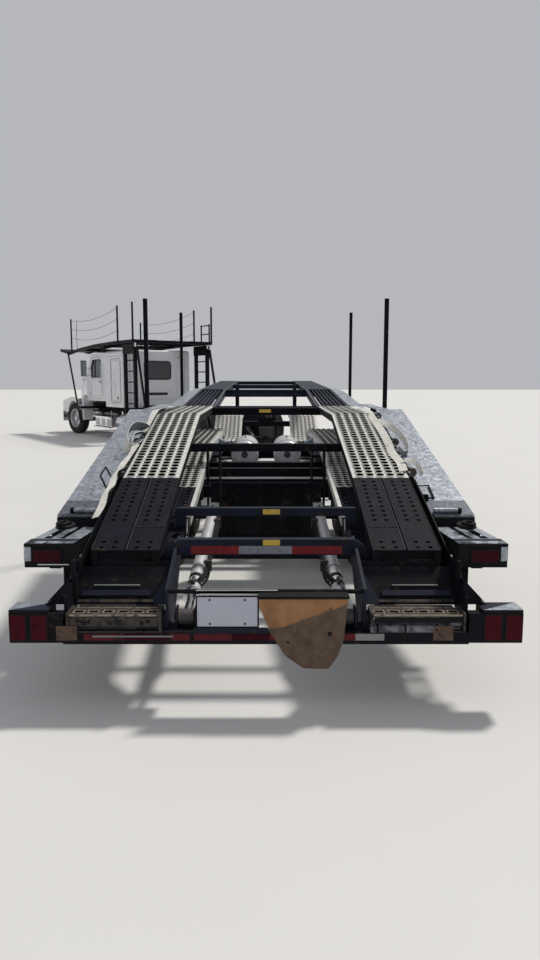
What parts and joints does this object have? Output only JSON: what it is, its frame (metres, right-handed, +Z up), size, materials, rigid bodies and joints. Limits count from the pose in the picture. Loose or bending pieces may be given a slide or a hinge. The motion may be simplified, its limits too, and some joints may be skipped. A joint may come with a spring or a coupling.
{
  "type": "car transporter truck",
  "caption": "Articulated car transporter: sleeper tractor with head rack and a stinger-steered trailer whose lowered decks carry perforated runways.",
  "frame": {"origin": "middle of the whole vehicle's footprint, on the ground", "axes": "+Y forward along the trailer, +X to its right, +Z up; the tractor is turned to the left of +Y"},
  "size_m": [8.4514, 23.3113, 3.89],
  "materials": {
    "black_steel": "satin black paint, worn",
    "galvanised": "hot-dip galvanised, spangled",
    "white_paint": "gloss white paint",
    "silver_paint": "silver-white paint",
    "chrome": "polished",
    "aluminium": "polished",
    "lamp_plastic": "red lens in black housing",
    "plate_paint": "blank pale plate",
    "glass": "tinted",
    "seat_fabric": "woven",
    "dash_plastic": "grained",
    "cast_metal": "as cast",
    "rubber": "worn tread",
    "wheel_alloy": "polished"
  },
  "bodies": {
    "trailer": {"trailer_frame": "black_steel", "lower_runways": "galvanised", "rear_bumper": "black_steel", "tail_lamps": "lamp_plastic", "licence_plate": "plate_paint", "fender_plates": "galvanised", "deck_posts": "black_steel", "air_tanks": "silver_paint", "trailer_axles": "black_steel"},
    "rear_deck": {"rear_deck_frame": "black_steel", "tail_ramps": "black_steel", "rear_runways": "galvanised"},
    "deck_lift_barrels": {"deck_lift_barrels": "silver_paint"},
    "deck_lift_rods": {"deck_lift_rods": "chrome"},
    "front_deck": {"front_deck": "black_steel", "outer_plates": "galvanised"},
    "post_lift_rods": {"post_lift_rods": "chrome"},
    "tractor": {"tractor_frame": "black_steel", "engine_block": "cast_metal", "cab_shell": "white_paint", "sleeper_shell": "white_paint", "cab_glass": "glass", "seats": "seat_fabric", "dashboard": "dash_plastic", "front_bumper": "chrome", "fuel_tanks": "aluminium", "air_cleaners": "chrome", "front_axle": "black_steel", "drive_axles": "black_steel", "headrack_legs": "black_steel"},
    "left_door": {"door_left": "white_paint", "door_glass_left": "glass"},
    "right_door": {"door_right": "white_paint", "door_glass_right": "glass"},
    "hood": {"hood": "white_paint", "grille": "chrome"},
    "headrack": {"headrack_deck": "black_steel"},
    "headrack_lift_rods": {"headrack_lift_rods": "chrome"},
    "left_knuckle": {"knuckle_left": "black_steel"},
    "right_knuckle": {"knuckle_right": "black_steel"},
    "wheel_trailer_rear_left": {"tyres_trailer_rear_left": "rubber", "rims_trailer_rear_left": "wheel_alloy"},
    "wheel_trailer_rear_right": {"tyres_trailer_rear_right": "rubber", "rims_trailer_rear_right": "wheel_alloy"},
    "wheel_trailer_front_left": {"tyres_trailer_front_left": "rubber", "rims_trailer_front_left": "wheel_alloy"},
    "wheel_trailer_front_right": {"tyres_trailer_front_right": "rubber", "rims_trailer_front_right": "wheel_alloy"},
    "wheel_drive_rear_left": {"tyres_drive_rear_left": "rubber", "rims_drive_rear_left": "wheel_alloy"},
    "wheel_drive_rear_right": {"tyres_drive_rear_right": "rubber", "rims_drive_rear_right": "wheel_alloy"},
    "wheel_drive_front_left": {"tyres_drive_front_left": "rubber", "rims_drive_front_left": "wheel_alloy"},
    "wheel_drive_front_right": {"tyres_drive_front_right": "rubber", "rims_drive_front_right": "wheel_alloy"},
    "wheel_front_left": {"tyres_front_left": "rubber", "rims_front_left": "wheel_alloy"},
    "wheel_front_right": {"tyres_front_right": "rubber", "rims_front_right": "wheel_alloy"}
  },
  "joints": [
    {"name": "hitch_turn", "type": "hinge", "parent": "trailer", "child": "tractor", "pos_m": [2.925, 1.85, 0.47], "axis": [0, 0, 1], "range_deg": [-94, 26]},
    {"name": "rear_deck_tilt", "type": "hinge", "parent": "trailer", "child": "rear_deck", "pos_m": [2.925, -6.96, 1.33], "axis": [-1, 0, 0], "range_deg": [0, 12]},
    {"name": "deck_lift_barrel_swing", "type": "hinge", "parent": "rear_deck", "child": "deck_lift_barrels", "pos_m": [2.925, -9.45, 0.66], "axis": [1, 0, 0], "range_deg": [0, 27.13]},
    {"name": "deck_lift_rod_stroke", "type": "slide", "parent": "deck_lift_barrels", "child": "deck_lift_rods", "axis": [0, -0.9947, -0.1028], "range_m": [0, 0.0444]},
    {"name": "front_deck_lift", "type": "hinge", "parent": "trailer", "child": "front_deck", "pos_m": [2.925, 0.55, 1.6], "axis": [-1, 0, 0], "range_deg": [0, 7.5]},
    {"name": "post_lift_rod_stroke", "type": "slide", "parent": "trailer", "child": "post_lift_rods", "axis": [0, 0, 1], "range_m": [0, 0.69]},
    {"name": "left_door_open", "type": "hinge", "parent": "tractor", "child": "left_door", "pos_m": [-2.77142, 8.43547, 1.8], "axis": [0, 0, -1], "range_deg": [0, 65]},
    {"name": "right_door_open", "type": "hinge", "parent": "tractor", "child": "right_door", "pos_m": [-1.04702, 9.59859, 1.8], "axis": [0, 0, 1], "range_deg": [0, 65]},
    {"name": "hood_tilt", "type": "hinge", "parent": "tractor", "child": "hood", "pos_m": [-3.11428, 10.80361, 0.75], "axis": [-0.829, -0.5592, 0], "range_deg": [0, 22]},
    {"name": "headrack_tilt", "type": "hinge", "parent": "tractor", "child": "headrack", "pos_m": [-2.66693, 10.14038, 2.65], "axis": [-0.829, -0.5592, 0], "range_deg": [0, 6]},
    {"name": "headrack_rod_stroke", "type": "slide", "parent": "tractor", "child": "headrack_lift_rods", "axis": [0, 0, 1], "range_m": [0, 0.55]},
    {"name": "left_steer", "type": "hinge", "parent": "tractor", "child": "left_knuckle", "pos_m": [-3.30122, 9.47129, 0.515], "axis": [0, 0, 1], "range_deg": [-45, 25]},
    {"name": "right_steer", "type": "hinge", "parent": "tractor", "child": "right_knuckle", "pos_m": [-1.80896, 10.47784, 0.515], "axis": [0, 0, 1], "range_deg": [-45, 25]},
    {"name": "roll_trailer_rear_left", "type": "hinge", "parent": "trailer", "child": "wheel_trailer_rear_left", "pos_m": [2.925, -8.6, 0.475], "axis": [-1, 0, 0], "continuous": true},
    {"name": "roll_trailer_rear_right", "type": "hinge", "parent": "trailer", "child": "wheel_trailer_rear_right", "pos_m": [2.925, -8.6, 0.475], "axis": [-1, 0, 0], "continuous": true},
    {"name": "roll_trailer_front_left", "type": "hinge", "parent": "trailer", "child": "wheel_trailer_front_left", "pos_m": [2.925, -7.35, 0.475], "axis": [-1, 0, 0], "continuous": true},
    {"name": "roll_trailer_front_right", "type": "hinge", "parent": "trailer", "child": "wheel_trailer_front_right", "pos_m": [2.925, -7.35, 0.475], "axis": [-1, 0, 0], "continuous": true},
    {"name": "roll_drive_rear_left", "type": "hinge", "parent": "tractor", "child": "wheel_drive_rear_left", "pos_m": [2.11417, 3.0521, 0.515], "axis": [-0.829, -0.5592, 0], "continuous": true},
    {"name": "roll_drive_rear_right", "type": "hinge", "parent": "tractor", "child": "wheel_drive_rear_right", "pos_m": [2.11417, 3.0521, 0.515], "axis": [-0.829, -0.5592, 0], "continuous": true},
    {"name": "roll_drive_front_left", "type": "hinge", "parent": "tractor", "child": "wheel_drive_front_left", "pos_m": [1.38163, 4.13814, 0.515], "axis": [-0.829, -0.5592, 0], "continuous": true},
    {"name": "roll_drive_front_right", "type": "hinge", "parent": "tractor", "child": "wheel_drive_front_right", "pos_m": [1.38163, 4.13814, 0.515], "axis": [-0.829, -0.5592, 0], "continuous": true},
    {"name": "roll_front_left", "type": "hinge", "parent": "left_knuckle", "child": "wheel_front_left", "pos_m": [-3.30122, 9.47129, 0.515], "axis": [-0.7193, -0.6947, 0], "continuous": true},
    {"name": "roll_front_right", "type": "hinge", "parent": "right_knuckle", "child": "wheel_front_right", "pos_m": [-1.80896, 10.47784, 0.515], "axis": [-0.7193, -0.6947, 0], "continuous": true}
  ],
  "couplings": [
    {"joint": "deck_lift_barrel_swing", "follows": "rear_deck_tilt", "ratio": 2.2195},
    {"joint": "deck_lift_rod_stroke", "follows": "rear_deck_tilt", "m_per_rad": 0.18816},
    {"joint": "post_lift_rod_stroke", "follows": "front_deck_lift", "m_per_rad": 5.19},
    {"joint": "headrack_rod_stroke", "follows": "headrack_tilt", "m_per_rad": 5.13},
    {"joint": "right_steer", "follows": "left_steer", "ratio": 1}
  ]
}
